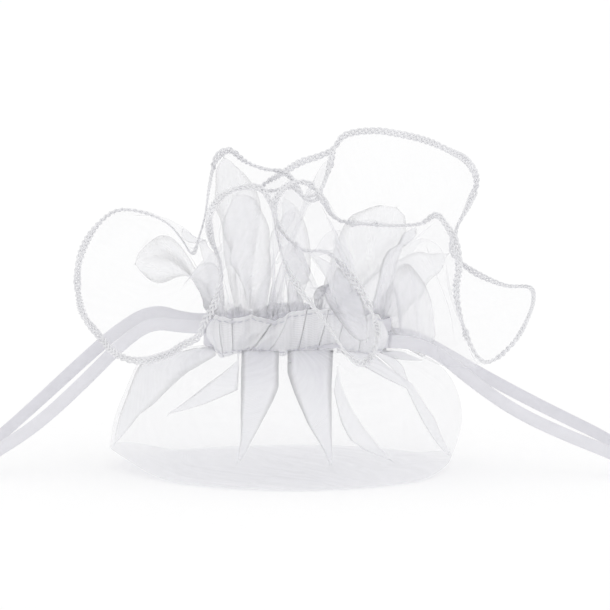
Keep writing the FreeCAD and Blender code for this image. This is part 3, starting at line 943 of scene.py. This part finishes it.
def casing_tracks(side, start, length):
    """The strip's folds as fold_pleats takes them, and a flat one at each end of its length."""
    up = np.linspace(0, 1, CASING_ROWS)
    tracks = [(np.full(CASING_ROWS, end), np.full(CASING_ROWS, end), 1) for end in (0.005, 0.99)]
    for left, right in CASING_PLEATS:
        left, right = ((low + (high - low) * up) for low, high in (left, right))
        if side > 0:
            left, right = 2 * NECK_X - right, 2 * NECK_X - left
        tracks.append(((left - start) / length, (right - start) / length, 3))
    return tracks


def casing_piece(side, where):
    """One strip of the casing, folded over itself where it is gathered on the ribbons."""
    x = np.linspace(casing_low[0], casing_high[0], CASING_COLUMNS)
    z = np.linspace(casing_low[2] - CASING_SEAM, casing_high[2] + CASING_SEAM, CASING_ROWS)
    length = (x[-1] - x[0]) * CASING_COLUMNS / (CASING_COLUMNS - 1)
    points, shares, _ = fold_pleats(casing_grid(side, x, z), casing_tracks(side, x[0], length),
                                    CASING_SPARE)
    points, shares = points[:, :-CASING_SPARE], shares[:, :-CASING_SPARE]
    run, height = np.broadcast_arrays(shares * length * CASING_FULLNESS, z[:, None])
    piece = mesh_piece("casing_strip_" + where, points, grid_faces(*points.shape[:2], False),
                       sheer_casing, uv=np.stack([run, height], axis=-1))
    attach(piece, "pouch")
    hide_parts("casing_" + where)
    return piece


STITCH_LENGTH = 1.15
STITCH_GAP = 0.45
STITCH_RADIUS = 0.15
STITCH_RINGS = 7
STITCH_SIDES = 6


def stitch_row(side, where, level, row_name):
    """Short stitches, one after the other, sunk a little at their ends."""
    points, faces = [], []
    s = np.linspace(0, 1, STITCH_RINGS)
    arch = np.sin(math.pi * s)
    turn = 2 * math.pi * np.arange(STITCH_SIDES) / STITCH_SIDES
    x = casing_low[0] + 0.8
    while x + STITCH_LENGTH < casing_high[0] - 0.6:
        xs = x + STITCH_LENGTH * s
        zs = level + casing_edge(xs, level, side)
        ys = casing_surface(side, xs, np.full(STITCH_RINGS, level)) + 0.1 + 0.12 * arch
        size = STITCH_RADIUS * (0.55 + 0.45 * arch)[:, None]
        rings = np.broadcast_arrays(xs[:, None], side * (ys[:, None] + size * np.cos(turn)),
                                    zs[:, None] + size * np.sin(turn))
        faces += tube_faces(STITCH_RINGS, STITCH_SIDES, len(points))
        points += np.stack(rings, axis=-1).reshape(-1, 3).tolist()
        x += STITCH_LENGTH + STITCH_GAP
    piece = mesh_piece("stitching_%s_%s" % (where, row_name), points, faces, stitch_thread)
    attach(piece, "pouch")
    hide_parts("stitches_%s_%s" % (where, row_name))
    return piece


# ---------------- the ribbons

RIBBON_WIDTH = 3.0
RIBBON_THICKNESS = 0.3
RIBBON_Y = 7.35            # from the neck's middle plane to the ribbons inside the casing
COIL_X = 97.0              # the put-away coils' middles
COIL_START = 85.0          # where the tails reach the table
FRONT_LANE = -17.2         # where the front and the back tail run into their coil
BACK_LANE = -15.8
COIL_PITCH = 0.9           # how much narrower a coil gets in each turn
COIL_TURNS = 1.5
COIL_POINTS = 16           # control points in a turn
FLOOR_LEVEL = 1.6          # the middle of a ribbon that stands on its edge on the table

inside_left = [np.array(c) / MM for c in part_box("left_ribbon_inside_front")]
inside_right = [np.array(c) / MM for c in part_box("right_ribbon_inside_front")]
LEFT_LEVEL = (inside_left[0][2] + inside_left[1][2]) / 2
RIGHT_LEVEL = (inside_right[0][2] + inside_right[1][2]) / 2
LEFT_OUTLET = inside_left[0][0]
RIGHT_OUTLET = inside_right[1][0]

TAILS = {
    "left_ribbon_tail_back": [
        (LEFT_OUTLET, RIBBON_Y, LEFT_LEVEL), (-27.5, RIBBON_Y, LEFT_LEVEL), (-35.0, 7.6, 36.2),
        (-43.0, 7.2, 31.6), (-52.0, 5.4, 23.8), (-61.5, 0.6, 15.4), (-69.5, -7.2, 8.9),
        (-77.5, -14.3, 2.9), (-COIL_START, BACK_LANE, FLOOR_LEVEL)],
    "left_ribbon_tail_front": [
        (LEFT_OUTLET, -RIBBON_Y, LEFT_LEVEL), (-27.5, -RIBBON_Y, LEFT_LEVEL), (-35.0, -7.9, 35.0),
        (-42.0, -8.3, 30.1), (-50.5, -9.0, 21.4), (-60.5, -10.6, 12.2), (-70.0, -13.4, 6.0),
        (-78.0, -16.2, 2.3), (-COIL_START, FRONT_LANE, FLOOR_LEVEL)],
    "right_ribbon_tail_back": [
        (RIGHT_OUTLET, RIBBON_Y, RIGHT_LEVEL), (24.0, RIBBON_Y, RIGHT_LEVEL), (31.0, 7.6, 26.8),
        (41.0, 7.1, 20.9), (52.0, 5.2, 15.2), (61.5, 0.6, 11.0), (69.5, -7.2, 7.9),
        (77.5, -14.3, 3.2), (COIL_START, BACK_LANE, FLOOR_LEVEL)],
    "right_ribbon_tail_front": [
        (RIGHT_OUTLET, -RIBBON_Y, RIGHT_LEVEL), (24.0, -RIBBON_Y, RIGHT_LEVEL), (30.5, -7.8, 27.9),
        (38.0, -8.5, 21.6), (48.0, -9.7, 14.6), (59.0, -11.4, 9.6), (69.5, -13.9, 5.7),
        (78.0, -16.4, 2.3), (COIL_START, FRONT_LANE, FLOOR_LEVEL)],
}


def ribbon_outline(width, thickness):
    """A flat ribbon's section, with soft edges, as (thickness, width) offsets."""
    w, t = width / 2, thickness / 2
    return [(t, -w * 0.9), (t * 0.8, 0), (t, w * 0.9), (t * 0.4, w), (-t * 0.4, w), (-t, w * 0.9),
            (-t * 0.8, 0), (-t, -w * 0.9), (-t * 0.4, -w), (t * 0.4, -w)]


def ribbon_mesh(name, line, roll, width=RIBBON_WIDTH):
    """A flat ribbon along a line of points, standing on its edge and rolled by an angle."""
    ahead = unit(np.gradient(line, axis=0))
    up = unit(np.array([0.0, 0.0, 1.0]) - ahead * ahead[:, 2:])
    side = np.cross(ahead, up)
    turned_up = up * np.cos(roll)[:, None] + side * np.sin(roll)[:, None]
    turned_side = np.cross(ahead, turned_up)
    outline = np.array(ribbon_outline(width, RIBBON_THICKNESS))
    points = (line[:, None] + turned_side[:, None] * outline[:, :1]
              + turned_up[:, None] * outline[:, 1:])
    run = np.concatenate([[0], np.cumsum(np.linalg.norm(np.diff(line, axis=0), axis=1))])
    uv = np.stack(np.broadcast_arrays(run[:, None], outline[:, 1]), axis=-1)
    return mesh_piece(name, points, tube_faces(*points.shape[:2]), ribbon_satin, uv=uv)


def route_points(name, points):
    """Points read from the smooth curve that has these as its control points."""
    curve = bpy.data.curves.new(name + "_route", "CURVE")
    curve.dimensions = "3D"
    spline = curve.splines.new("NURBS")
    spline.points.add(len(points) - 1)
    for point, place in zip(spline.points, points):
        point.co = (*[v * MM for v in place], 1)
    spline.order_u = 3
    spline.use_endpoint_u = True
    spline.resolution_u = 10
    holder = bpy.data.objects.new(name + "_route", curve)
    bpy.context.scene.collection.objects.link(holder)
    bpy.context.view_layer.update()
    mesh = bpy.data.meshes.new_from_object(holder)
    line = np.array([v.co for v in mesh.vertices]) / MM
    bpy.data.objects.remove(holder)
    bpy.data.meshes.remove(mesh)
    return line


def coil_points(hand, lane):
    """Control points of the put-away turns, from the lead to the knot on the coil's far side."""
    points = []
    for i in range(1, int(COIL_TURNS * COIL_POINTS) + 1):
        turns = i / COIL_POINTS
        angle = 2 * math.pi * turns
        climb = float(smooth((turns - 1.25) / 0.22))
        r = -lane - COIL_PITCH * turns + 0.9 * climb
        z = FLOOR_LEVEL + 2.9 * climb
        points.append((hand * (COIL_X + r * math.sin(angle)), -r * math.cos(angle), z))
    return points


def tail_piece(node, hand, lane, body):
    """A tail from the casing's outlet down to the table, with its put-away coil."""
    middle = (hand * COIL_X, lane, FLOOR_LEVEL)
    line = route_points(node, [*TAILS[node], middle, *coil_points(hand, lane)])
    run = np.linspace(0, 1, len(line))
    lean = 0.16 * np.sin(2 * math.pi * (1.3 * run + 0.2 * hand))
    lean = lean * smooth(run / 0.05) * smooth((0.36 - run) / 0.1)
    piece = ribbon_mesh(node.replace("_tail", "") + "_tail", line, lean)
    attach(piece, body)
    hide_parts(node)
    return piece


def knot_piece(name, hand, body):
    """A small overhand knot: two loops of ribbon wound over each other, with cut ends."""
    middle = np.array([hand * COIL_X, -BACK_LANE + 0.4, 4.9])
    turn = 2 * math.pi * np.linspace(0, 1, 90)
    line = middle + np.column_stack([2.0 * np.sin(turn + 0.4), 1.35 * np.sin(2 * turn),
                                     0.75 * np.cos(3 * turn)])
    piece = ribbon_mesh(name + "_knot", line, 0.9 * np.sin(3 * turn), width=1.9)
    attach(piece, body)
    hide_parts(name + "_ribbon_knot")
    return piece


INSIDE_POINTS = 60


def inside_length(node, side, level, body):
    """A ribbon's length inside the casing, with slight waves."""
    low, high = (np.array(c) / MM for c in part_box(node))
    s = np.linspace(0, 1, INSIDE_POINTS)
    line = np.column_stack([np.linspace(low[0], high[0], INSIDE_POINTS),
                            side * (RIBBON_Y + 0.12 * np.sin(9 * math.pi * s)),
                            np.full(INSIDE_POINTS, level)])
    inside = ribbon_mesh(node + "_length", line, 0.05 * np.sin(14 * s))
    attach(inside, body)
    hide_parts(node)


def ribbon_return(name, hand, level):
    """The ribbon's way round the neck's far end, which stays with the pouch."""
    end_x = NECK_X - hand * (NECK_HALF_WIDTH - NECK_HALF_DEPTH)
    start_x = NECK_X - hand * 6.0
    turn = np.linspace(0, math.pi, 40)
    straight = np.linspace(0, 1, 14)[:-1]
    front = [(start_x + (end_x - start_x) * t, -RIBBON_Y, level) for t in straight]
    bow = [(end_x - hand * RIBBON_Y * math.sin(a), -RIBBON_Y * math.cos(a), level) for a in turn]
    back = [(x, -y, z) for x, y, z in front[::-1]]
    line = np.array(front + bow + back)
    bend = ribbon_mesh(name + "_ribbon_return", line, np.zeros(len(line)))
    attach(bend, "pouch")
    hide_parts(name + "_ribbon_bend")


def ribbon_set(name, hand, level):
    """One ribbon: its bend, its lengths in the casing, its tails, coil and knot."""
    body = name + "_drawstring"
    knot = knot_piece(name, hand, body)
    for side, where, lane in ((-1, "front", FRONT_LANE), (1, "back", BACK_LANE)):
        inside_length("%s_ribbon_inside_%s" % (name, where), side, level, body)
        tail_piece("%s_ribbon_tail_%s" % (name, where), hand, lane, body)
    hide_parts(name + "_ribbon_coil")
    ribbon_return(name, hand, level)


# ---------------- the whole pouch

ruffle_rows = make_ruffle()
sewn_on = [merrowed_edge(ruffle_rows)]
wall = make_wall()
for side, where in ((-1, "front"), (1, "back")):
    sewn_on.append(casing_piece(side, where))
    stitch_row(side, where, casing_high[2] - 0.5, "upper")
    stitch_row(side, where, casing_low[2] + 0.5, "lower")
make_floor(wall[0])
wall_piece(*wall)
ruffle_piece(ruffle_rows)
ribbon_set("left", -1, LEFT_LEVEL)
ribbon_set("right", 1, RIGHT_LEVEL)


# ---------------- table, light and camera

TABLE_HALF = 4000.0
TABLE_LEVEL = -0.02
TABLE_GLOW = 0.043         # keeps the shadows as pale as the photograph's
SKY_STRENGTH = 0.935
CAMERA_TILT = math.radians(6.5)
CAMERA_DISTANCE = 1.6      # these are in metres
CAMERA_TARGET = (0.0, 0.0, 0.03796)
PICTURE_WIDTH = 0.1403
SENSOR_WIDTH = 36.0        # and this is in millimetres


def placed(data, location, rotation):
    """A lamp or a camera in the scene."""
    thing = bpy.data.objects.new(data.name, data)
    thing.location = location
    thing.rotation_euler = rotation
    bpy.context.scene.collection.objects.link(thing)
    return thing


def make_table():
    """A matt white table without an end in view."""
    material, nodes = new_material("table_white")
    finish(nodes, add(nodes, "ShaderNodeBsdfPrincipled", {
        "Base Color": (0.975, 0.975, 0.975, 1), "Roughness": 0.9, "Specular IOR Level": 0.0,
        "Emission Color": (1, 1, 1, 1), "Emission Strength": TABLE_GLOW}))
    corners = [(x * TABLE_HALF, y * TABLE_HALF, TABLE_LEVEL)
               for x, y in ((-1, -1), (1, -1), (1, 1), (-1, 1))]
    table = mesh_piece("table", corners, [(0, 1, 2, 3)], material, smooth_faces=False)


def make_light():
    """A bright, even room and one large soft lamp from the front's right."""
    world = bpy.data.worlds.new("studio")
    world.use_nodes = True
    background = world.node_tree.nodes["Background"]
    background.inputs["Color"].default_value = (1, 1, 1, 1)
    background.inputs["Strength"].default_value = SKY_STRENGTH
    bpy.context.scene.world = world
    lamp = bpy.data.lights.new("soft_key", "SUN")
    lamp.angle = math.radians(50)
    lamp.energy = 0.2
    placed(lamp, (0, 0, 0), (math.radians(25), 0, math.radians(35)))


def make_camera():
    """A long lens a little above the table, square to the front."""
    data = bpy.data.cameras.new("camera")
    data.sensor_width = SENSOR_WIDTH
    data.lens = SENSOR_WIDTH * CAMERA_DISTANCE / PICTURE_WIDTH
    x, y, z = CAMERA_TARGET
    location = (x, y - CAMERA_DISTANCE * math.cos(CAMERA_TILT),
                z + CAMERA_DISTANCE * math.sin(CAMERA_TILT))
    bpy.context.scene.camera = placed(data, location, (math.pi / 2 - CAMERA_TILT, 0, 0))


make_table()
make_light()
make_camera()
bpy.context.scene.view_settings.view_transform = "Standard"

# Light passes through every layer of the gathered cloth
bpy.context.scene.cycles.transparent_max_bounces = 64
bpy.context.scene.cycles.diffuse_bounces = 8
